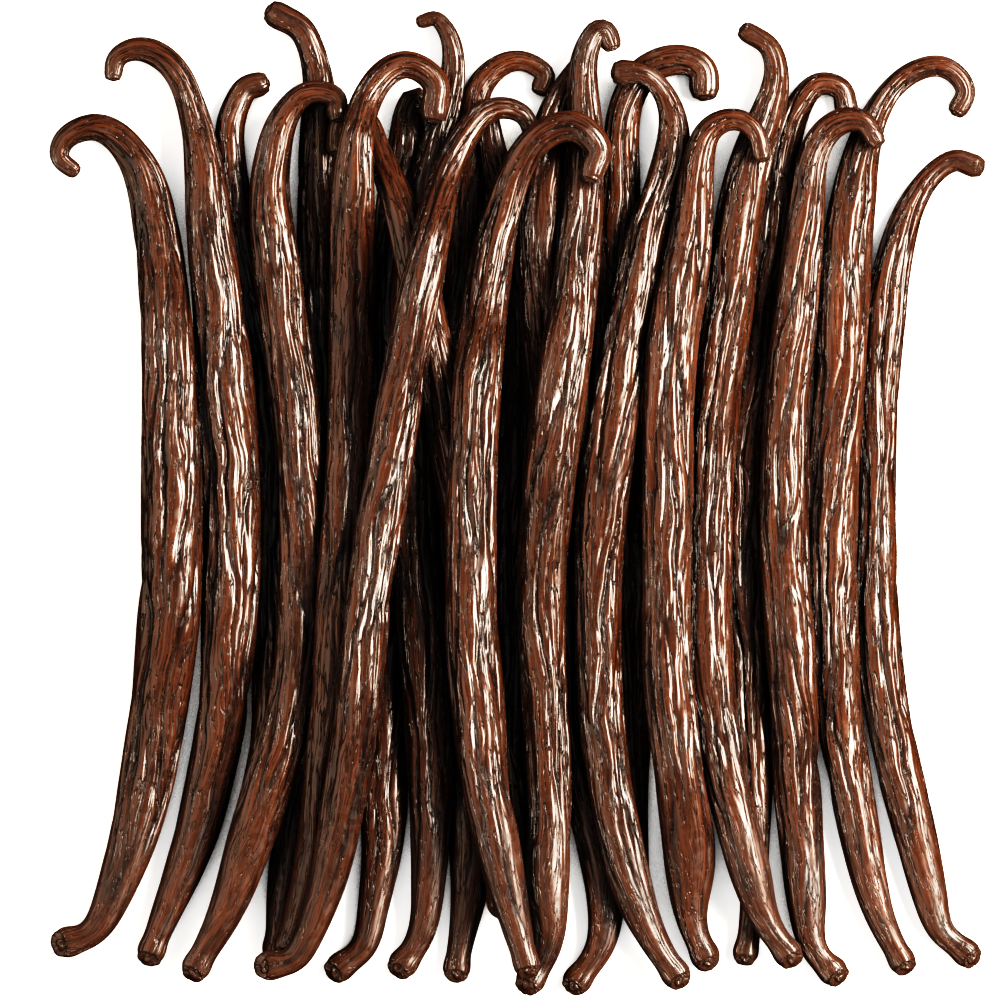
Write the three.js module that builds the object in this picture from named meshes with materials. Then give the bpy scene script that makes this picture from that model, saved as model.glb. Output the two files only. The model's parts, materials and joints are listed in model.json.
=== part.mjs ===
// A bundle of vanilla pods: a loose pile of long, limp, cured seed pods that lie side by
// side and over each other, hooked tips at +Y and stalk ends at -Y. Millimetres, +Z up.
// Every pod is one closed solid, and the origin is under the middle of the pile.

import * as THREE from "three";
import { mergeVertices } from "three/addons/utils/BufferGeometryUtils.js";

// ---- driving dimensions ----

const flatness = 0.84; // a pod's thickness as a share of its width
const clearance = 0.4; // air left between two pods that touch
const sides = 10; // facets round a pod, with a flat one below
const bodyRings = 19; // rings between a pod's two end caps
const capDepth = 0.8; // where the ring on a round end stands, as a share of the end's radius
const turnWeight = 15; // how many mm of length one radian of bend is worth in rings
const tipNeck = 0.92; // a swollen tip narrows to this share of the hook behind it
const stalkNeck = 1.1; // and the stalk is this share of its knob just before it

const layingSteps = 90; // stations along a pod while it is laid on the pile
const softenPasses = 10; // more passes make a stiffer pod, which spans wider hollows
const softenReach = 4; // stations to each side that bend with one station
const stretchSteps = 8; // places tested between one ring and the next
const liftPasses = 30;
const shareSlack = 1e-5; // two shares of the length this close are the same ring
const bendSteps = 200; // short steps in which a route's bend is added up
const weldDistance = 1e-4;

const podLook = { color: "#4b2a1c", roughness: 0.36, metalness: 0 };

// Where along a pod its widths are given, from the hooked tip (0) to the stalk end (1).
const widthStations = [0, 0.05, 0.12, 0.24, 0.42, 0.62, 0.8, 0.91, 1];
const tipNeckStation = 0.025;
const stalkNeckStation = 0.972;

// The pods in the order in which they are laid, the lowest first. A route is the middle
// line seen from above, from the tip to the stalk end.
const pods = [
  {
    name: "pod_04",
    widths: [4.3, 4.9, 6.2, 6.8, 8, 8, 7, 6.7, 4.5],
    route: [
      [-40.1, 87.5], [-36, 85], [-33, 77.4], [-33.2, 57.6], [-32.8, 28.8], [-32, 3.6],
      [-32.9, -25.2], [-36.4, -54], [-38.9, -70.2], [-39.9, -80.5],
    ],
  },
  {
    name: "pod_10",
    widths: [3.1, 3.6, 5.2, 7.1, 8.2, 8.4, 7.3, 6.8, 3.7],
    route: [
      [7.4, 74.7], [8, 76.9], [2.5, 79.3], [-3.4, 75.3], [-5.3, 64.8], [-6.7, 46.8],
      [-7.9, 25.2], [-9.2, 0], [-9.2, -25.2], [-6.5, -50.4], [-5.5, -72], [-7.1, -77.4],
      [-7.9, -84.1],
    ],
  },
  {
    name: "pod_03",
    widths: [3.9, 5, 5.2, 7, 8.4, 8.4, 6.6, 6.2, 4.6],
    route: [
      [-43.7, 75], [-45.7, 74.3], [-48.4, 68.8], [-48.3, 59.4], [-45.2, 36], [-42.1, 10.8],
      [-40.9, -18], [-42, -45.1], [-45.9, -62], [-49.2, -72.6],
    ],
  },
  {
    name: "pod_13",
    widths: [3.2, 4.7, 6.1, 7.4, 8.4, 8.4, 7.6, 6.2, 5],
    route: [
      [-2.3, 70.6], [-1.6, 64.8], [0, 57.6], [2.3, 46.8], [3.8, 30.6], [3.2, 10.8], [2.3, -10.8],
      [2, -28.8], [2.2, -46.8], [3.8, -64.8], [6.1, -77.4],
    ],
  },
  {
    name: "pod_08",
    widths: [2.7, 5.8, 8.2, 8.4, 8.2, 8.4, 8.6, 5.4, 4.1],
    route: [
      [-13.9, 70.4], [-15.5, 72.7], [-16.4, 68.8], [-17.7, 57.6], [-19.2, 43.2], [-20.9, 23.4],
      [-21.4, 0], [-20.5, -25.2], [-20.7, -46.8], [-21.8, -66.6], [-22.6, -72], [-23.8, -76.7],
      [-25.3, -81], [-28.8, -83.9],
    ],
  },
  {
    name: "pod_09",
    widths: [2.2, 3.8, 5.3, 6.4, 8.2, 8.4, 8.2, 5.8, 4.1],
    route: [
      [-14, 86.4], [-11.5, 86.8], [-8.7, 81.4], [-9.8, 70.3], [-13, 58.5], [-15.5, 42.3],
      [-16.2, 18], [-15.3, -10.8], [-12.9, -41.4], [-12.7, -65.7], [-13.4, -72], [-14.3, -76.6],
      [-15.4, -80.6], [-17.5, -83.2],
    ],
  },
  {
    name: "pod_07",
    widths: [3.5, 3.6, 5.2, 7, 7.8, 8.2, 7.6, 6.2, 4.6],
    route: [
      [-29.3, 64.1], [-28.6, 68.2], [-25, 69.2], [-21.9, 63.1], [-17, 49], [-13, 32.4],
      [-9.2, 12.6], [-5.9, -7.2], [-3.8, -28.8], [-2.2, -50.4], [0.5, -72],
    ],
  },
  {
    name: "pod_23",
    widths: [3.6, 3.9, 5.8, 7.8, 7, 8.2, 7.8, 6.2, 3.8],
    route: [
      [85.2, 60.4], [81.5, 61.3], [76.1, 56.6], [72.3, 48.7], [69.5, 36.1], [67.9, 16.2],
      [67.6, -5.4], [68.2, -26.1], [71, -45], [74.9, -60.8], [77.5, -72], [79.4, -77.3],
      [83.9, -81.4],
    ],
  },
  {
    name: "pod_20",
    widths: [3.6, 4.1, 5.4, 6.8, 8.4, 8.4, 7.3, 4.8, 3.5],
    route: [
      [62.3, 70.6], [61.2, 74.2], [57.2, 75], [53.2, 70.1], [50.3, 59.4], [48.2, 45],
      [45.9, 26.1], [44.1, 5.4], [43.9, -16.2], [45, -37.8], [45.4, -55.8], [45.4, -72],
      [45, -76.9], [44.1, -81.2],
    ],
  },
  {
    name: "pod_14",
    widths: [2.6, 4.7, 8.4, 8.4, 9.3, 8.8, 7.7, 6.2, 4],
    route: [
      [15.5, 80.6], [12.1, 75.4], [9.1, 67.5], [7.7, 52.2], [7.8, 34.2], [9.4, 14.4],
      [11.2, -5.4], [12.6, -25.2], [13.9, -45], [17.3, -63], [19, -72], [18.5, -76.6],
      [17.4, -81.2], [13.9, -86.2],
    ],
  },
  {
    name: "pod_17",
    widths: [4.7, 5.4, 5.8, 7.1, 10.1, 9.6, 7.2, 4.4, 3.7],
    route: [
      [36.7, 74.7], [36.6, 77.1], [35, 78.8], [32.2, 79.6], [26.4, 77.6], [22.3, 70.8],
      [21.8, 55.8], [20.7, 36], [20.7, 14.4], [22.5, -7.2], [23.6, -28.8], [23.6, -50.4],
      [25.2, -74.8],
    ],
  },
  {
    name: "pod_05",
    widths: [3.4, 4.1, 6.3, 8.7, 8.2, 8.8, 8.5, 7, 4],
    route: [
      [-29.2, 69.8], [-29.9, 72.7], [-34.6, 73.3], [-39.2, 68.3], [-41.5, 55.8], [-39.7, 37.8],
      [-36.5, 14.4], [-35.5, -10.8], [-37.1, -34.2], [-43.8, -57.5], [-48.8, -72.1],
      [-50.9, -76.8], [-53.2, -80.8], [-54.7, -83.7],
    ],
  },
  {
    name: "pod_06",
    widths: [4.5, 4.7, 5.4, 8.2, 8.1, 8, 7.5, 6.4, 4.9],
    route: [
      [-11.9, 70.4], [-12, 75.6], [-18, 78.3], [-24, 72.1], [-26.2, 60.3], [-26.6, 37.8],
      [-27.4, 9], [-28.8, -18], [-31, -45], [-34.6, -68.4], [-37.6, -80.1],
    ],
  },
  {
    name: "pod_15",
    widths: [3.4, 4.7, 6.1, 7.5, 10.1, 8.6, 8.1, 7, 4.1],
    route: [
      [19.7, 82.7], [18.4, 84.8], [15.4, 81.5], [14.9, 72.9], [15.5, 63], [14.5, 49.5],
      [11.8, 27.9], [8.6, 4.5], [7.4, -19.8], [8.5, -46.8], [8.5, -72], [8.5, -77], [7.8, -82],
      [5.4, -86],
    ],
  },
  {
    name: "pod_16",
    widths: [4.1, 3.8, 6.4, 7.9, 9.5, 8.3, 7.9, 6.8, 4],
    route: [
      [22.1, 77], [25.4, 76.9], [30, 72.4], [31, 63.9], [28.1, 54.1], [25.1, 42.8], [21.3, 22.5],
      [18.3, 0.9], [17.5, -18], [18.5, -42.3], [22, -63], [24.4, -71.9], [26.4, -76.5],
      [28.6, -81.1], [31.5, -85.1],
    ],
  },
  {
    name: "pod_11",
    widths: [2.6, 3.9, 5, 7.4, 8.6, 8.4, 7.9, 5.7, 4.1],
    route: [
      [5.9, 64.9], [4.3, 69], [-0.7, 70.6], [-6.1, 65.7], [-10.1, 57.2], [-12.6, 45.9],
      [-16.4, 27], [-20.3, 4.5], [-23.8, -19.8], [-26.5, -45], [-30.3, -64.7], [-32, -71.9],
      [-33.9, -76.5], [-36, -80.6], [-38.3, -82.8], [-41.4, -83.3],
    ],
  },
  {
    name: "pod_02",
    widths: [2.9, 4.5, 5.2, 8.2, 10.7, 10.5, 8.5, 6.9, 3.9],
    route: [
      [-69.7, 77.2], [-69.5, 79], [-67.6, 80.6], [-65, 81.5], [-59.4, 78.5], [-54.9, 68.6],
      [-52, 47.7], [-49.4, 18], [-48.4, -9], [-50.2, -38.7], [-55.7, -62.9], [-59.2, -71.8],
      [-61.4, -76.9], [-62.8, -81],
    ],
  },
  {
    name: "pod_22",
    widths: [3.2, 3.8, 4.2, 8.7, 9.4, 9, 7.9, 6.5, 3.7],
    route: [
      [82.6, 70.9], [83.7, 72.8], [83.3, 75.2], [81.5, 77.3], [78.5, 78.4], [72.9, 76.5],
      [67.5, 69.5], [64.3, 59.1], [62.3, 45.9], [61.1, 25.2], [59.9, 3.6], [59.8, -18],
      [60.9, -37.8], [64.4, -58.5], [67.6, -72], [69.2, -77.3], [72.3, -82.8],
    ],
  },
  {
    name: "pod_01",
    widths: [2.7, 4.2, 6, 8.7, 10.3, 11.3, 9.6, 6.8, 4.3],
    route: [
      [-77.2, 59.8], [-79.1, 61.4], [-79.4, 63.3], [-77.9, 65.5], [-75.7, 66.9], [-73.4, 67.5],
      [-66.1, 62.5], [-61.6, 45.9], [-59.2, 10.8], [-59.8, -23.4], [-64.4, -53.9], [-69.3, -70],
      [-72.3, -75.7], [-75.1, -78.7], [-77.9, -79.4],
    ],
  },
  {
    name: "pod_19",
    widths: [3.2, 4.3, 6.7, 8.9, 8.7, 8.9, 7.8, 6.8, 4],
    route: [
      [44.6, 84.3], [48.2, 81.8], [49.6, 76], [46.9, 67.2], [43.2, 53.2], [40.8, 34.2],
      [38.2, 14.4], [37.1, -8.1], [37.6, -28.8], [40.2, -47.7], [44.3, -65.1], [46.7, -71.9],
      [48.5, -77.1], [51.6, -81.3],
    ],
  },
  {
    name: "pod_12",
    widths: [3.9, 5.4, 5.7, 7.6, 9, 9.5, 8.5, 7.2, 3.6],
    route: [
      [16.4, 59.2], [17.5, 63.4], [12.2, 67.4], [5.1, 63.1], [0.8, 53.1], [-1.8, 42.3],
      [-4.3, 20.7], [-5.4, -3.6], [-5, -28.8], [-2.9, -50.4], [0.5, -66.2], [1.8, -72],
      [2.8, -76.9], [4.7, -83.2],
    ],
  },
  {
    name: "pod_18",
    widths: [3.1, 4, 5.7, 8.6, 9.3, 8.8, 9.2, 8.2, 4.1],
    route: [
      [46.8, 62.5], [46.2, 65.3], [42.1, 68.6], [36.9, 65.8], [35.2, 55.8], [33.1, 42.3],
      [30.5, 25.2], [30.1, 5.4], [29.7, -14.4], [30.2, -34.2], [32.5, -51.3], [34.5, -72],
      [34.8, -77.4], [36.8, -81.8],
    ],
  },
  {
    name: "pod_21",
    widths: [3.1, 4.8, 5.9, 7.6, 8.3, 8.7, 8.3, 6.9, 4],
    route: [
      [67.3, 65.1], [65, 68.2], [60.8, 68.1], [56.8, 63.5], [55.2, 54.9], [53.9, 41.4],
      [52.1, 24.3], [51.1, 3.6], [51.3, -16.2], [52.7, -36], [53.7, -55.8], [55, -72],
      [55.9, -77.5], [57.3, -82.1], [59.8, -84.6],
    ],
  },
];

// ---- one pod's shape ----

// The middle line seen from above, as one smooth curve.
function routeCurve(pod) {
  const points = pod.route.map(([x, y]) => new THREE.Vector3(x, y, 0));
  return new THREE.CatmullRomCurve3(points, false, "centripetal");
}

// The list of [station, width] pairs, with the two necks put in.
function widthList(pod) {
  const list = widthStations.map((station, i) => [station, pod.widths[i]]);
  const [tip, hook] = pod.widths;
  const knob = pod.widths[pod.widths.length - 1];
  const behindTip = tip < hook ? (tip + hook) / 2 : hook * tipNeck;
  list.splice(1, 0, [tipNeckStation, behindTip]);
  list.splice(list.length - 1, 0, [stalkNeckStation, knob * stalkNeck]);
  return list;
}

// Half the width at a share of the length, on a straight line from one station to the next.
function halfWidth(list, share) {
  const last = list.length - 2;
  let i = 0;
  while (i < last && share > list[i + 1][0]) i += 1;
  const [fromStation, fromWidth] = list[i];
  const [toStation, toWidth] = list[i + 1];
  const t = THREE.MathUtils.clamp((share - fromStation) / (toStation - fromStation), 0, 1);
  return (fromWidth + (toWidth - fromWidth) * t) / 2;
}

// Shares of the length for the rings, closer together where the pod bends.
function ringShares(curve, length) {
  const effort = [0];
  for (let i = 1; i <= bendSteps; i += 1) {
    const before = curve.getTangentAt((i - 1) / bendSteps);
    const bend = before.angleTo(curve.getTangentAt(i / bendSteps));
    effort.push(effort[i - 1] + length / bendSteps + bend * turnWeight);
  }
  const shares = [0];
  let i = 0;
  for (let ring = 1; ring < bodyRings - 1; ring += 1) {
    const target = (effort[bendSteps] * ring) / (bodyRings - 1);
    while (effort[i + 1] < target) i += 1;
    shares.push((i + (target - effort[i]) / (effort[i + 1] - effort[i])) / bendSteps);
  }
  shares.push(1);
  return shares;
}

// ---- laying the pile ----

// The middle of a pod above its flat underside.
function soleDepth(half) {
  return half * flatness * Math.cos(Math.PI / sides);
}

// How high a station's middle must lie to clear the floor and every pod laid before.
function restHeight(place, laid) {
  let height = soleDepth(place.half);
  for (const other of laid) {
    for (const under of other) {
      const reach = place.half + under.half + clearance;
      const away = Math.hypot(place.x - under.x, place.y - under.y);
      if (away >= reach) continue;
      const rise = (place.half + under.half) * flatness + clearance;
      height = Math.max(height, under.z + rise * Math.sqrt(1 - (away / reach) ** 2));
    }
  }
  return height;
}

// Bends a pod's line smoothly over what carries it, never below that.
function soften(rest) {
  const last = rest.length - 1;
  let heights = rest;
  for (let pass = 0; pass < softenPasses; pass += 1) {
    heights = rest.map((low, i) => {
      let sum = 0;
      for (let k = -softenReach; k <= softenReach; k += 1) {
        sum += heights[THREE.MathUtils.clamp(i + k, 0, last)];
      }
      return Math.max(low, sum / (2 * softenReach + 1));
    });
  }
  return heights;
}

// A place on the pod's middle line, with half its width there.
function placeAt(curve, widths, share) {
  const { x, y } = curve.getPointAt(share);
  return { x, y, z: 0, half: halfWidth(widths, share) };
}

// Places along the straight stretches from ring to ring.
function alongRings(rings) {
  const places = [];
  for (let i = 0; i < rings.length - 1; i += 1) {
    const [from, to] = [rings[i], rings[i + 1]];
    for (let k = 0; k < stretchSteps; k += 1) {
      const t = k / stretchSteps;
      const mix = (key) => THREE.MathUtils.lerp(from[key], to[key], t);
      places.push({ x: mix("x"), y: mix("y"), z: mix("z"), half: mix("half"), ring: i, t });
    }
  }
  places.push({ ...rings[rings.length - 1], ring: rings.length - 2, t: 1 });
  return places;
}

// Lifts rings until every straight stretch between them clears what lies below.
function liftRings(rings, laid) {
  const rest = alongRings(rings).map((place) => restHeight(place, laid));
  for (let pass = 0; pass < liftPasses; pass += 1) {
    alongRings(rings).forEach(({ ring, t }, i) => {
      const height = THREE.MathUtils.lerp(rings[ring].z, rings[ring + 1].z, t);
      const lack = Math.max(0, rest[i] - height);
      rings[ring].z += lack * (1 - t);
      rings[ring + 1].z += lack * t;
    });
  }
}

// Lays one pod on those before it, and gives its rings with their heights.
function layPod(pod, laid) {
  const curve = routeCurve(pod);
  const widths = widthList(pod);
  const shares = ringShares(curve, curve.getLength());
  const rest = [];
  for (let i = 0; i <= layingSteps; i += 1) {
    rest.push(restHeight(placeAt(curve, widths, i / layingSteps), laid));
  }
  const heights = soften(rest);
  const rings = shares.map((share) => {
    const at = share * layingSteps;
    const i = Math.min(Math.floor(at), layingSteps - 1);
    const z = THREE.MathUtils.lerp(heights[i], heights[i + 1], at - i);
    return { ...placeAt(curve, widths, share), share, z };
  });
  liftRings(rings, laid);
  return rings;
}

// ---- the solid ----

// The straight pod's outline, [radius, distance from the tip], from pole to pole.
function outline(rings, length) {
  const tip = rings[0].half;
  const knob = rings[rings.length - 1].half;
  const capRadius = Math.sqrt(1 - capDepth ** 2);
  return [
    [0, -tip],
    [tip * capRadius, -tip * capDepth],
    ...rings.map(({ half, share }) => [half, share * length]),
    [knob * capRadius, length + knob * capDepth],
    [0, length + knob],
  ];
}

// The height of a laid pod's middle at one of its rings, or past its end.
function heightAt(rings, share) {
  const ring = rings.find((one) => Math.abs(one.share - share) < shareSlack);
  return ring.z;
}

// A lathed straight pod, bent along its route and set at its height on the pile.
function podGeometry(pod, rings) {
  const curve = routeCurve(pod);
  const length = curve.getLength();
  const profile = outline(rings, length).map(([radius, along]) => new THREE.Vector2(radius, along));
  const straight = new THREE.LatheGeometry(profile, sides, Math.PI / sides);
  straight.deleteAttribute("normal");
  straight.deleteAttribute("uv");
  const solid = mergeVertices(straight, weldDistance);
  const position = solid.attributes.position;
  for (let i = 0; i < position.count; i += 1) {
    const along = position.getY(i);
    const share = THREE.MathUtils.clamp(along / length, 0, 1);
    const beyond = along - share * length; // how far past the end of the route
    const middle = curve.getPointAt(share);
    const onward = curve.getTangentAt(share);
    const sideways = new THREE.Vector3(onward.y, -onward.x, 0).normalize();
    middle.addScaledVector(onward, beyond);
    middle.addScaledVector(sideways, position.getX(i));
    const z = heightAt(rings, share) + position.getZ(i) * flatness;
    position.setXYZ(i, middle.x, middle.y, z);
  }
  return solid;
}

// ---- the pile ----

const bundle = new THREE.Group();
const laid = [];
for (const pod of pods) {
  const rings = layPod(pod, laid);
  laid.push(alongRings(rings));
  const look = new THREE.MeshStandardMaterial(podLook);
  const mesh = new THREE.Mesh(podGeometry(pod, rings), look);
  mesh.name = pod.name;
  bundle.add(mesh);
}

// The origin goes under the middle of the pile, on the surface it lies on.
const box = new THREE.Box3().setFromObject(bundle, true);
const centre = box.getCenter(new THREE.Vector3());
bundle.children.forEach((mesh) => mesh.geometry.translate(-centre.x, -centre.y, -box.min.z));

export default bundle;
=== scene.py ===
import json
import math

import bmesh
import bpy
import numpy as np
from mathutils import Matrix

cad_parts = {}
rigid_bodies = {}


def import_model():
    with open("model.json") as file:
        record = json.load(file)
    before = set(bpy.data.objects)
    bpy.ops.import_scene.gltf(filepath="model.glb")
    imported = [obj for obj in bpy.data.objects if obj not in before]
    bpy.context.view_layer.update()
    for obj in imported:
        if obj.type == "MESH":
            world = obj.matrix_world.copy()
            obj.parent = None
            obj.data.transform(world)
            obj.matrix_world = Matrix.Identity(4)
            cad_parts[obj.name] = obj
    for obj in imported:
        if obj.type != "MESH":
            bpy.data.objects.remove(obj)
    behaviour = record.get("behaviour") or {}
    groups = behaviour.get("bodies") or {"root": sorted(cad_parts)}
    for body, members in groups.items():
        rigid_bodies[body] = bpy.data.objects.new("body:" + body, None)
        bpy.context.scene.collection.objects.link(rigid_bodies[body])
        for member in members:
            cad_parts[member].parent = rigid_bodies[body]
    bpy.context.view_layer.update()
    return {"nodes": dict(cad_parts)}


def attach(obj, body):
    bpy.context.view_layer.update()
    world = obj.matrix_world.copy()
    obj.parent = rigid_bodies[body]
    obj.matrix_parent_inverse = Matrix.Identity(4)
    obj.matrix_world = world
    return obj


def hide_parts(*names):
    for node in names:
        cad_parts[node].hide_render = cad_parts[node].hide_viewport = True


# A loose pile of cured vanilla pods: oily, shrunken seed pods with hooked tips and blunt
# stalk ends. Every pod is grown along the middle line of its own CAD node.

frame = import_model()
mm = 0.001

# the pods' grown shape, in mm
podShape = {
    "cadSides": 10,             # edges that meet at the end point of a CAD pod
    "cadCapRings": 2,           # rings of a CAD pod from its end point to its first full ring
    "flatness": 0.84,           # thickness as a share of width
    "plump": (0.45, 4.0, 0.3),  # skin outside the CAD pod before it shrank, the half width that has
                                # all of it, and the least share of it
    "aroundMm": 0.22,           # size of a skin face round the pod
    "alongMm": 0.65,            # and along it
    "capRows": 26,              # rows of faces on each round end
    "headingMm": 0.5,           # the middle line's heading is taken over this much on both sides
    "knob": (0.24, 1.8),        # swelling of the stalk end as a share, and its reach
    "bulb": (0.08, 1.8),        # and of the hooked tip
    "heelTilt": (55, 72),       # degrees that the stalk scar is turned up
    "tipTilt": (10, 30),        # and the hooked tip's
    "tiltFade": 1.5,            # how fast that turn fades towards the pod's own girth
    "endReach": (2.0, 3.5),     # how far out on its cap an end's own look is full, and its fading
    "seed": 41,
}

skinRelief = {
    # cells round the pod, cell length, depth, sharpness of the grooves
    "lobes": (4, 34.0, 0.36),
    "folds": (7, 42.0, 0.80, 5.0),
    "ribs": (16, 26.0, 0.28, 5.0),
    "threads": (34, 14.0, 0.12, 2.5),
    # painted shade in the grooves: how dark each of them is at the bottom, and how narrow its dark line
    "darkness": {"folds": (1.0, 6), "ribs": (0.5, 11), "threads": (0.3, 11)},
    # turns, cells round the pod, cell length
    "twist": (0.10, 1, 90.0),          # slow twist of the whole pod
    "wander": (0.03, 5, 16.0),         # how the folds stray sideways
    "fineWander": (0.012, 11, 6.0),
    "vigour": (0.8, 0.45, 3, 22.0),    # mean depth and its swing, cells round the pod, cell length
    "fullHalfWidth": 4.6,              # a pod this thick has the full depth
    "fullness": (0.3, 1.1),            # limits of that share on thin and thick pods
    "calmTip": (-0.01, 0.06),          # the folds rise over this stretch of the length
    "calmHeel": (0.76, 0.93),          # and sink again over this one
    "calmest": 0.3,                    # depth left at both ends
    "knuckles": (7, 0.8, 0.16, 1.5),   # creases that run into the scar: cells, angle, depth, sharpness
    "scar": (0.36, 0.50),              # its depth and its size in radians
    "scarRim": (0.24, 0.85, 0.20),     # height of its rim, place and width in radians
    "scarRings": (0.15, 12.0, 2.6),    # depth of its ring wrinkles, turn a radian, and their stray
    "scarWander": (4, 0.9),            # cells round the pod and cell angle of that stray
    "scarHalfWidth": 2.4,              # an end this thick has the full scar
    "tipScar": 0.5,                    # the hooked tip's scar as a share of the stalk's
}


def smoothStep(low, high, at):
    t = np.clip((at - low) / (high - low), 0, 1)
    return t * t * (3 - 2 * t)


def splineThrough(knots, values, at):
    # values at the places `at`, on a natural cubic spline through (knots, values)
    gaps = np.diff(knots)
    slopes = np.diff(values, axis=0) / gaps[:, None]
    system = np.eye(len(knots))
    change = np.zeros_like(values)
    for i in range(1, len(knots) - 1):
        system[i, i - 1:i + 2] = gaps[i - 1], 2 * (gaps[i - 1] + gaps[i]), gaps[i]
        change[i] = 6 * (slopes[i] - slopes[i - 1])
    bend = np.linalg.solve(system, change)
    part = np.clip(np.searchsorted(knots, at, side="right") - 1, 0, len(gaps) - 1)
    gap = gaps[part][:, None]
    ahead = at[:, None] - knots[part][:, None]
    back = gap - ahead
    return (bend[part] * back ** 3 + bend[part + 1] * ahead ** 3) / (6 * gap) + (
        (values[part] / gap - bend[part] * gap / 6) * back
        + (values[part + 1] / gap - bend[part + 1] * gap / 6) * ahead)


def ringsOf(node):
    # middle points and half widths of a CAD pod's rings in mm, from the hooked tip on
    shell = bmesh.new()
    shell.from_mesh(node.data)
    bmesh.ops.remove_doubles(shell, verts=shell.verts, dist=0.001 * mm)
    shell.verts.index_update()
    ends = [v for v in shell.verts if len(v.link_edges) == podShape["cadSides"]]
    level = [max(ends, key=lambda v: v.co.y)]
    seen = set(level)
    centres = []
    halfWidths = []
    while level:
        places = np.array([v.co for v in level]) / mm
        spans = places[:, None, :2] - places[None, :, :2]
        centres.append(places.mean(0))
        halfWidths.append([np.linalg.norm(spans, axis=2).max() / 2])
        onward = {e.other_vert(v) for v in level for e in v.link_edges} - seen
        level = sorted(onward, key=lambda v: v.index)
        seen.update(level)
    shell.free()
    return np.array(centres), np.array(halfWidths)


def wander(rng, around, along, cells, cellMm):
    # smooth noise, about -1 to 1, that closes on itself round the pod
    x = (around % 1.0) * cells
    margin = 4                 # cells ahead of the body, for places on the tip's cap
    y = along / cellMm + margin + rng.random()
    column = np.floor(x).astype(int)
    row = np.floor(y).astype(int)
    fx = x - column
    fy = y - row
    heading = rng.uniform(0, 2 * math.pi, (row.max() + 2, cells))
    easeX = fx ** 3 * (fx * (6 * fx - 15) + 10)
    easeY = fy ** 3 * (fy * (6 * fy - 15) + 10)
    swing = 1.6                # brings the sum to about -1 to 1
    total = 0
    for dx, shareX in ((0, 1 - easeX), (1, easeX)):
        for dy, shareY in ((0, 1 - easeY), (1, easeY)):
            turn = heading[row + dy, (column + dx) % cells]
            total = total + shareX * shareY * (np.cos(turn) * (fx - dx) + np.sin(turn) * (fy - dy))
    return total * swing


def crease(noise, sharpness):
    # 1 along the bottom of a groove, falling to 0 over the rounded ridge between two
    return (1 - np.minimum(np.abs(noise), 1)) ** sharpness


def skinOffsets(rng, around, along, halfWidth, length):
    # how far the shrunken skin lies below the plump pod, how dark the painted shade of the grooves is at
    # each point, the turn that each point has once the folds' own wandering is taken off, and how smooth it
    # is
    look = skinRelief
    turns, cells, cellMm = look["twist"]
    twist = turns * wander(rng, around * 0, along, cells, cellMm)
    stray = 0
    for key in ("wander", "fineWander"):
        turns, cells, cellMm = look[key]
        stray = stray + turns * wander(rng, around, along, cells, cellMm)
    around = around + twist + stray
    fullness = np.clip(halfWidth / look["fullHalfWidth"], *look["fullness"])
    share = along / length
    awake = smoothStep(*look["calmTip"], share) * (1 - smoothStep(*look["calmHeel"], share))
    awake = look["calmest"] + (1 - look["calmest"]) * awake
    mean, swing, cells, cellMm = look["vigour"]
    vigour = awake * (mean + swing * wander(rng, around, along, cells, cellMm))

    cells, cellMm, depth = look["lobes"]
    drop = depth * awake * (0.5 - 0.5 * wander(rng, around, along, cells, cellMm))
    groove = 0
    for key, (dark, narrow) in look["darkness"].items():
        cells, cellMm, depth, sharpness = look[key]
        noise = wander(rng, around, along, cells, cellMm)
        drop += depth * vigour * crease(noise, sharpness)
        groove += dark * crease(noise, narrow)
    return drop * fullness, np.clip(groove, 0, 1), around, 1 - awake


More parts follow.
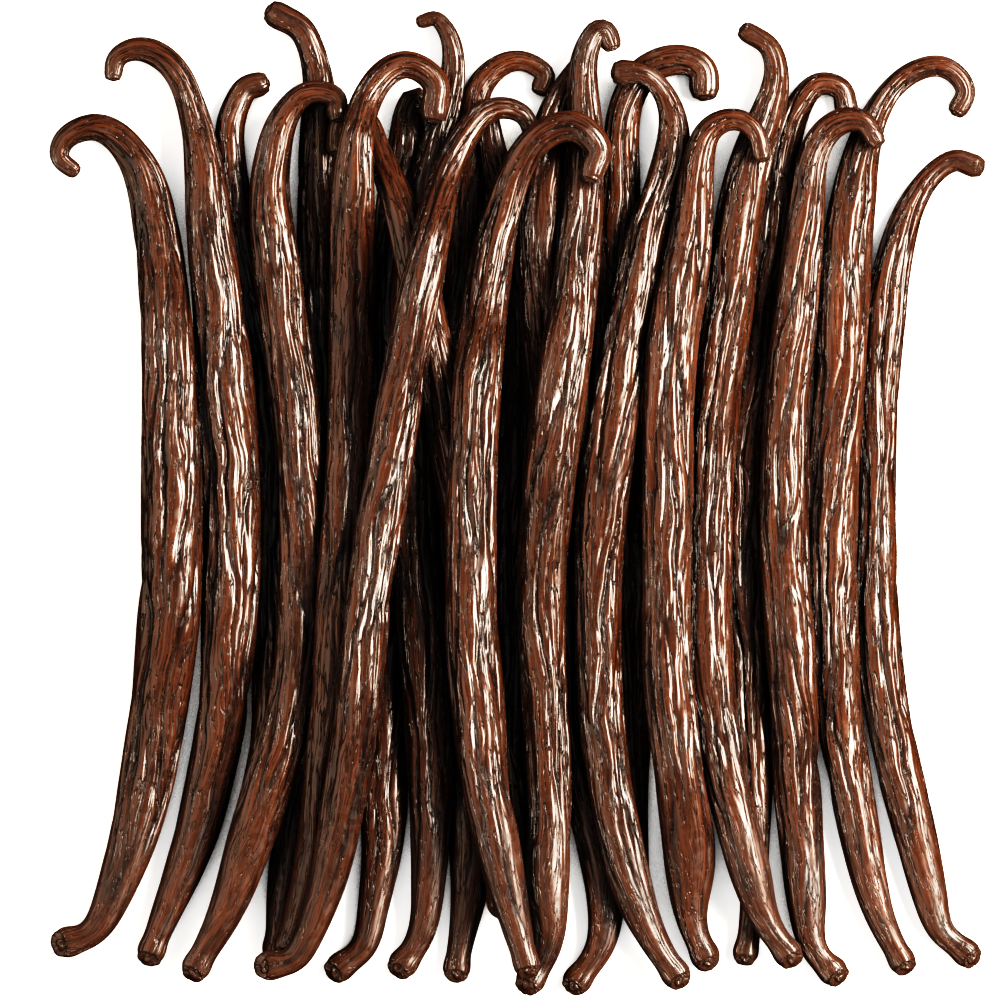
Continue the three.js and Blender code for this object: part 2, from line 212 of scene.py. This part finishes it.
def growPod(name, node, rng):
    centres, halfWidths = ringsOf(node)
    knots = np.concatenate([[0], np.cumsum(np.linalg.norm(np.diff(centres, axis=0), axis=1))])
    capRings = podShape["cadCapRings"]
    knots -= knots[capRings]               # 0 and bodyLength are the first and last full rings
    full = slice(capRings, -capRings)
    bodyLength = knots[full][-1]
    meanHalfWidth = halfWidths.max() * (1 + podShape["flatness"]) / 2
    columns = 2 * round(math.pi * meanHalfWidth / podShape["aroundMm"])
    bodyRows = round(bodyLength / podShape["alongMm"])
    capRows = podShape["capRows"]
    rows = bodyRows + 2 * capRows

    # rows of skin: the body's stations, and on the round ends the angle from the pole
    stations = np.concatenate([np.zeros(capRows), np.linspace(0, bodyLength, bodyRows + 1),
                               np.full(capRows, bodyLength)])
    polar = np.linspace(0, math.pi / 2, capRows + 1)
    polar = np.concatenate([polar[:-1], np.full(bodyRows + 1, math.pi / 2), polar[-2::-1]])
    atHeel = np.arange(rows + 1) > rows / 2
    girth = splineThrough(knots[full], halfWidths[full], stations)[:, 0]
    plump, plumpHalfWidth, leastPlump = podShape["plump"]
    girth += plump * np.clip(girth / plumpHalfWidth, leastPlump, 1)
    for key, away in (("bulb", stations), ("knob", bodyLength - stations)):
        swelling, reach = podShape[key]
        girth *= 1 + swelling * np.exp(-(away / reach) ** 2)
    along = stations + np.where(atHeel, 1, -1) * (math.pi / 2 - polar) * girth
    middle = splineThrough(knots, centres, stations)
    step = podShape["headingMm"]
    heading = (splineThrough(knots, centres, np.minimum(stations + step, bodyLength + step))
               - splineThrough(knots, centres, np.maximum(stations - step, -step)))
    heading[:, 2] = 0
    heading /= np.linalg.norm(heading, axis=1)[:, None]
    side = np.stack([heading[:, 1], -heading[:, 0], np.zeros(rows + 1)], axis=1)

    ball = bmesh.new()
    bmesh.ops.create_uvsphere(ball, u_segments=columns, v_segments=rows, radius=1)
    mesh = bpy.data.meshes.new(name)
    ball.to_mesh(mesh)
    ball.free()
    unit = np.empty(len(mesh.vertices) * 3)
    mesh.vertices.foreach_get("co", unit)
    unit = unit.reshape(-1, 3)
    row = np.rint(np.arccos(np.clip(unit[:, 2], -1, 1)) / math.pi * rows).astype(int)
    around = np.arctan2(unit[:, 1], unit[:, 0]) / (2 * math.pi) % 1.0
    around[(row == 0) | (row == rows)] = 0

    # each point on the plump pod; the caps are turned up, so that the scars look upwards
    half = girth[row]
    polar = polar[row]
    along = along[row]
    atHeel = atHeel[row]
    onwards = np.where(atHeel, 1, -1)
    tilt = np.where(atHeel, rng.uniform(*podShape["heelTilt"]), rng.uniform(*podShape["tipTilt"]))
    tilt = np.radians(tilt) * np.cos(polar) ** podShape["tiltFade"]
    outSide = np.sin(polar) * np.cos(around * 2 * math.pi)
    level = np.sin(polar) * np.sin(around * 2 * math.pi)
    outUp = level * np.cos(tilt) + np.cos(polar) * np.sin(tilt)
    outOn = onwards * (np.cos(polar) * np.cos(tilt) - level * np.sin(tilt))
    lean = np.sqrt(outSide ** 2 + (outUp / podShape["flatness"]) ** 2 + outOn ** 2)
    normal = np.stack([outSide, outUp / podShape["flatness"], outOn], axis=1) / lean[:, None]

    drop, groove, combed, calm = skinOffsets(rng, around, along, half, bodyLength)
    drop *= np.sin(polar)
    # the scars on the ends: a pit with a rim, ring wrinkles in it and creases that run into it
    cells, cellAngle, depth, sharpness = skinRelief["knuckles"]
    creased = crease(wander(rng, around, polar, cells, cellAngle), sharpness)
    scarred = depth * creased * np.sin(2 * polar) ** 2
    depth, turn, stray = skinRelief["scarRings"]
    strayed = stray * wander(rng, around, polar, *skinRelief["scarWander"])
    scarred += depth * np.cos(turn * polar + strayed) * np.exp(-polar ** 4)
    depth, size = skinRelief["scar"]
    scarred += depth * np.exp(-(polar / size) ** 2)
    height, size, width = skinRelief["scarRim"]
    scarred -= height * np.exp(-((polar - size) / width) ** 2)
    share = np.where(atHeel, 1, skinRelief["tipScar"])
    drop += share * np.clip(half / skinRelief["scarHalfWidth"], 0, 1) * scarred
    spans = np.stack([outSide, outUp * podShape["flatness"], outOn], axis=1) * half[:, None]
    spans -= normal * drop[:, None]
    place = middle[row] + side[row] * spans[:, :1] + heading[row] * spans[:, 2:]
    place[:, 2] += spans[:, 1]
    mesh.vertices.foreach_set("co", (place * mm).ravel())

    combed = combed * 2 * math.pi
    straight = np.stack([half * np.cos(combed), half * np.sin(combed), along], axis=1)
    inward, softness = podShape["endReach"]
    endDistance = np.minimum(along + inward, bodyLength + inward - along)
    for key, kind, values in (
        ("straightMm", "FLOAT_VECTOR", straight),
        ("groove", "FLOAT", groove),
        ("calm", "FLOAT", calm),
        ("endNear", "FLOAT", np.exp(-endDistance / softness)),
        ("tone", "FLOAT", np.full(len(along), rng.random())),
    ):
        layer = mesh.attributes.new(key, kind, "POINT")
        layer.data.foreach_set("vector" if kind == "FLOAT_VECTOR" else "value", values.ravel())
    mesh.shade_smooth()
    mesh.update()
    pod = bpy.data.objects.new(name, mesh)
    bpy.context.scene.collection.objects.link(pod)
    return pod


def linearColour(hexCode):
    # an sRGB hex value as a linear colour with full alpha
    parts = [int(hexCode[i:i + 2], 16) / 255 for i in (1, 3, 5)]
    return [c / 12.92 if c <= 0.04045 else ((c + 0.055) / 1.055) ** 2.4 for c in parts] + [1.0]


def addNode(tree, kind, settings=None, **links):
    # a node with its settings; links are socket names (spaces as _) to a value or an output
    node = tree.nodes.new(kind)
    for key, value in (settings or {}).items():
        setattr(node, key, value)
    for key, value in links.items():
        socket = node.inputs[int(key[1:])] if key[1:].isdigit() else node.inputs[key.replace("_", " ")]
        if isinstance(value, bpy.types.NodeSocket):
            tree.links.new(value, socket)
        else:
            socket.default_value = value
    return node


def newMaterial(name):
    material = bpy.data.materials.new(name)
    material.use_nodes = True
    material.node_tree.nodes.clear()
    return material, material.node_tree


skinLook = {
    # from the top of a ridge to the bottom of a groove, darker towards the bottom as painted shade: share
    # of the depth, colour
    "ridge": (0.05, "#3e2415"),
    "slope": (0.35, "#361f13"),
    "groove": (0.85, "#1a0d07"),
    "amber": ("#472714", (0.42, 0.72), 0.75),  # colour, noise it comes in over, and its most
    "endBrown": "#38251b",
    "crackMm": 0.85,           # the cracks' spacing
    "crackStretch": 0.08,      # their spacing across a pod over that along it
    "crackWidth": 0.07,        # share of the skin between two cracks
    "crackDepth": 0.2,         # in mm, as the crinkles' depth is
    # painted shade in the cracks
    "crackShade": 0.25,        # what a crack's bottom keeps of the colour
    "healed": 0.75,            # how much shallower the cracks are in calm skin
    "fibreMm": 0.45,           # the finest lengthwise lines
    "fibreStretch": 0.035,
    "fibreShade": (0.65, 1.25),  # of the colour, in the darkest and the lightest of them
    "crinkleMm": 0.5,          # grain of the cross wrinkles and pits
    "crinkleDepth": 0.022,
    "crinkleCalm": 0.35,       # share of it that calm skin keeps
    "podShade": (0.8, 1.15),   # of the colour, on the darkest and the lightest pod
    "oilMm": 1.6,              # patches of more and less oil
    "roughness": (0.16, 0.42),
    "dryRoughness": 0.22,      # added where the skin is calm and has sweated less oil
    "endRoughness": 0.15,      # of the two ends, which are handled and oily
    # painted shade where pods close each other in: how open, how dark, and how far it looks
    "paintedCreviceShade": (0.2, 0.8),     # how open to the sky a place is where the skin turns from dark to clear
    "paintedCreviceShadeKeeps": 0.12,      # of the colour, where it is dark
    "paintedCreviceShadeReachMm": 5.0,
}


def oilyCuredSkin():
    # vanilla pod, cured by sweating and slow drying: a dark hide shrunk into long folds, with a
    # film of its own oil that breaks a lamp into white streaks
    look = skinLook
    material, tree = newMaterial("oilyCuredVanillaSkin")
    straight = addNode(tree, "ShaderNodeAttribute", {"attribute_name": "straightMm"}).outputs["Vector"]
    groove = addNode(tree, "ShaderNodeAttribute", {"attribute_name": "groove"}).outputs["Fac"]
    endNear = addNode(tree, "ShaderNodeAttribute", {"attribute_name": "endNear"}).outputs["Fac"]
    calm = addNode(tree, "ShaderNodeAttribute", {"attribute_name": "calm"}).outputs["Fac"]
    tone = addNode(tree, "ShaderNodeAttribute", {"attribute_name": "tone"}).outputs["Fac"]

    # cracks: the middle values of a long noise, as narrow lines that run and meet lengthwise
    stretched = addNode(tree, "ShaderNodeMapping", Vector=straight, Scale=(1, 1, look["crackStretch"]))
    folds = addNode(tree, "ShaderNodeTexNoise", Vector=stretched.outputs[0], Scale=1 / look["crackMm"],
                    Detail=2.0, Roughness=0.55)
    valley = addNode(tree, "ShaderNodeMath", {"operation": "MULTIPLY_ADD"}, _0=folds.outputs["Fac"],
                     _1=2.0, _2=-1.0)
    valley = addNode(tree, "ShaderNodeMath", {"operation": "ABSOLUTE"}, _0=valley.outputs[0])
    shoulder = addNode(tree, "ShaderNodeMapRange", {"interpolation_type": "SMOOTHSTEP"},
                       Value=valley.outputs[0], From_Min=0.0, From_Max=look["crackWidth"])
    healed = addNode(tree, "ShaderNodeMapRange", Value=calm, To_Min=0.0, To_Max=look["healed"])
    cracks = addNode(tree, "ShaderNodeMix", {"data_type": "FLOAT"}, _0=healed.outputs[0],
                     _2=shoulder.outputs[0], _3=1.0)
    crinkle = addNode(tree, "ShaderNodeTexNoise", Vector=straight, Scale=1 / look["crinkleMm"], Detail=2.0,
                      Roughness=0.5)
    calmed = addNode(tree, "ShaderNodeMapRange", Value=calm, To_Min=1.0, To_Max=look["crinkleCalm"])
    crackBump = addNode(tree, "ShaderNodeBump", Height=cracks.outputs[0], Distance=look["crackDepth"] * mm,
                        Strength=1.0)
    skinBump = addNode(tree, "ShaderNodeBump", Height=crinkle.outputs["Fac"], Strength=calmed.outputs[0],
                       Distance=look["crinkleDepth"] * mm, Normal=crackBump.outputs[0])

    # colour: painted shade dark in the folds, red-brown on the ridges, amber where the skin is thin
    ramp = addNode(tree, "ShaderNodeValToRGB", Fac=groove)
    stops = ramp.color_ramp.elements
    for stop, key in zip(stops, ("ridge", "groove")):
        stop.position = look[key][0]
        stop.color = linearColour(look[key][1])
    stops.new(look["slope"][0]).color = linearColour(look["slope"][1])
    amber, amberFrom, mostAmber = look["amber"]
    patches = addNode(tree, "ShaderNodeTexNoise", Vector=stretched.outputs[0], Scale=1 / look["oilMm"],
                      Detail=3.0)
    amberShare = addNode(tree, "ShaderNodeMapRange", Value=patches.outputs["Fac"], From_Min=amberFrom[0],
                         From_Max=amberFrom[1], To_Min=0.0, To_Max=mostAmber)
    ambered = addNode(tree, "ShaderNodeMix", {"data_type": "RGBA"}, _0=amberShare.outputs[0],
                      _6=ramp.outputs["Color"], _7=linearColour(amber))
    # painted shade at the bottom of the cracks
    shade = addNode(tree, "ShaderNodeMapRange", Value=cracks.outputs[0], To_Min=look["crackShade"],
                    To_Max=1.0)
    drawn = addNode(tree, "ShaderNodeMapping", Vector=straight, Scale=(1, 1, look["fibreStretch"]))
    fibres = addNode(tree, "ShaderNodeTexNoise", Vector=drawn.outputs[0], Scale=1 / look["fibreMm"],
                     Detail=2.0, Roughness=0.6)
    fibreShade = addNode(tree, "ShaderNodeMapRange", Value=fibres.outputs["Fac"], From_Min=0.35,
                         From_Max=0.65, To_Min=look["fibreShade"][0], To_Max=look["fibreShade"][1])
    podTone = addNode(tree, "ShaderNodeMapRange", Value=tone, To_Min=look["podShade"][0],
                      To_Max=look["podShade"][1])
    # painted shade: the colour darkens where pods press on each other and close off the sky
    openness = addNode(tree, "ShaderNodeAmbientOcclusion", {"samples": 4},
                       Distance=look["paintedCreviceShadeReachMm"] * mm)
    paintedCreviceShade = addNode(tree, "ShaderNodeMapRange", Value=openness.outputs["AO"], From_Min=look["paintedCreviceShade"][0],
                      From_Max=look["paintedCreviceShade"][1], To_Min=look["paintedCreviceShadeKeeps"], To_Max=1.0)
    toned = ambered.outputs[2]
    for layer in (shade, fibreShade, podTone, paintedCreviceShade):
        toned = addNode(tree, "ShaderNodeMix", {"data_type": "RGBA", "blend_type": "MULTIPLY"}, _0=1.0,
                        _6=toned, _7=layer.outputs[0]).outputs[2]
    ended = addNode(tree, "ShaderNodeMix", {"data_type": "RGBA"}, _0=endNear, _6=toned,
                    _7=linearColour(look["endBrown"]))
    oil = addNode(tree, "ShaderNodeTexNoise", Vector=straight, Scale=1 / look["oilMm"], Detail=2.0)
    rough = addNode(tree, "ShaderNodeMapRange", Value=oil.outputs["Fac"], From_Min=0.4, From_Max=0.75,
                    To_Min=look["roughness"][0], To_Max=look["roughness"][1])
    dry = addNode(tree, "ShaderNodeMath", {"operation": "SUBTRACT", "use_clamp": True}, _0=calm, _1=endNear)
    driest = addNode(tree, "ShaderNodeMath", {"operation": "MULTIPLY_ADD"}, _0=dry.outputs[0],
                     _1=look["dryRoughness"], _2=rough.outputs[0])
    polished = addNode(tree, "ShaderNodeMix", {"data_type": "FLOAT"}, _0=endNear, _2=driest.outputs[0],
                       _3=look["endRoughness"])
    skin = addNode(tree, "ShaderNodeBsdfPrincipled", Base_Color=ended.outputs[2],
                   Roughness=polished.outputs[0], Normal=skinBump.outputs[0], IOR=1.5)
    addNode(tree, "ShaderNodeOutputMaterial", Surface=skin.outputs[0])
    return material


skin = oilyCuredSkin()
print("materials made")

for number, name in enumerate(sorted(frame["nodes"])):
    rng = np.random.default_rng(podShape["seed"] + number)
    pod = growPod(name + "_skin", frame["nodes"][name], rng)
    pod.data.materials.append(skin)
    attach(pod, "root")
    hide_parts(name)
faces = sum(len(o.data.polygons) for o in bpy.data.objects if o.name.endswith("_skin"))
print("pods grown:", faces, "faces")

studio = {
    "floorWidth": 6.0,
    "card": "#f6f6f5",
    # painted shade: the card's colour in the narrow slits between pods
    "paintedSlitShade": "#2b211c",  # the card in the slits between pods
    "glow": 0.6,              # light of the card itself
    "glowReach": 0.03,        # pods nearer than this close it in
    "glowOpens": (0.1, 0.3),  # how open the card is where it turns from closed to clear
    "worldLight": 0.35,
    # lean from overhead towards +X, turn on towards +Y, distance, size, radiance, colour
    "key": (44.0, 11.0, 0.9, (0.32, 1.0), 42.0, "#fff1e2"),
    "fill": (-60.0, 0.0, 0.9, (1.2, 1.6), 1.9, "#ffe3ca"),
    "toneCurve": ((0.05, 0.02), (0.2, 0.2), (0.5, 0.68)),
    "lens": 600.0,
    "sensor": 36.0,
    "farthest": 20.0,         # the camera sees no further
    "frameWidth": 0.1798,     # what the square picture covers
    "aimX": -0.00315,
    "aimY": -0.00045,
    "aimZ": 0.006,
}


def matteCard():
    # backlit white card: even, without gloss, with painted shade where the pods close it in
    material, tree = newMaterial("matteWhiteCard")
    openness = addNode(tree, "ShaderNodeAmbientOcclusion", {"samples": 8}, Distance=studio["glowReach"])
    opened = addNode(tree, "ShaderNodeMapRange", {"interpolation_type": "SMOOTHSTEP"},
                     Value=openness.outputs["AO"], From_Min=studio["glowOpens"][0],
                     From_Max=studio["glowOpens"][1])
    # painted shade: the card's colour and glow darken where the pods close it in
    cardWithPaintedShade = addNode(tree, "ShaderNodeMix", {"data_type": "RGBA"}, _0=opened.outputs[0],
                   _6=linearColour(studio["paintedSlitShade"]), _7=linearColour(studio["card"]))
    card = addNode(tree, "ShaderNodeBsdfPrincipled", Base_Color=cardWithPaintedShade.outputs[2], Roughness=0.9,
                   Emission_Color=cardWithPaintedShade.outputs[2], Emission_Strength=studio["glow"])
    addNode(tree, "ShaderNodeOutputMaterial", Surface=card.outputs[0])
    return material


board = bmesh.new()
bmesh.ops.create_grid(board, x_segments=8, y_segments=8, size=studio["floorWidth"] / 2)
floorMesh = bpy.data.meshes.new("floor")
board.to_mesh(floorMesh)
board.free()
floor = bpy.data.objects.new("floor", floorMesh)
bpy.context.scene.collection.objects.link(floor)
floor.data.materials.append(matteCard())
# the skin mirrors the lamps only, and takes no light from the floor
floor.visible_glossy = False
floor.visible_diffuse = False

world = bpy.data.worlds.new("paleStudio")
bpy.context.scene.world = world
world.use_nodes = True
world.node_tree.nodes.clear()
# white overhead, dark below the table's level
direction = addNode(world.node_tree, "ShaderNodeTexCoord")
height = addNode(world.node_tree, "ShaderNodeSeparateXYZ", Vector=direction.outputs["Generated"])
dome = addNode(world.node_tree, "ShaderNodeMapRange", Value=height.outputs["Z"], From_Min=-0.05,
               From_Max=0.05, To_Max=studio["worldLight"])
sky = addNode(world.node_tree, "ShaderNodeBackground", Color=(1, 1, 1, 1), Strength=dome.outputs[0])
addNode(world.node_tree, "ShaderNodeOutputWorld", Surface=sky.outputs[0])


def addSoftbox(name, lean, turn, distance, size, radiance, colour):
    # a rectangular soft lamp that looks at the middle of the pile
    lamp = bpy.data.lights.new(name, "AREA")
    lamp.shape = "RECTANGLE"
    lamp.size = size[0]
    lamp.size_y = size[1]
    lamp.energy = radiance * math.pi * size[0] * size[1]
    lamp.color = linearColour(colour)[:3]
    softbox = bpy.data.objects.new(name, lamp)
    bpy.context.scene.collection.objects.link(softbox)
    softbox.rotation_mode = "XYZ"
    softbox.rotation_euler = (0, math.radians(lean), math.radians(turn))
    outward = math.sin(math.radians(lean)) * distance
    softbox.location = (outward * math.cos(math.radians(turn)), outward * math.sin(math.radians(turn)),
                        math.cos(math.radians(lean)) * distance)
    softbox.visible_camera = False


addSoftbox("keySoftbox", *studio["key"])
addSoftbox("fillSoftbox", *studio["fill"])

lens = bpy.data.cameras.new("camera")
lens.lens = studio["lens"]
lens.sensor_width = studio["sensor"]
lens.clip_end = studio["farthest"]
camera = bpy.data.objects.new("camera", lens)
bpy.context.scene.collection.objects.link(camera)
camera.location = (studio["aimX"], studio["aimY"],
                   studio["aimZ"] + studio["frameWidth"] * studio["lens"] / studio["sensor"])
bpy.context.scene.camera = camera

# a print-like tone curve: deep shadows and bright oil
colours = bpy.context.scene.view_settings
colours.view_transform = "Standard"
colours.use_curve_mapping = True
for darkness, shown in studio["toneCurve"]:
    colours.curve_mapping.curves[3].points.new(darkness, shown)
colours.curve_mapping.update()
print("studio set")
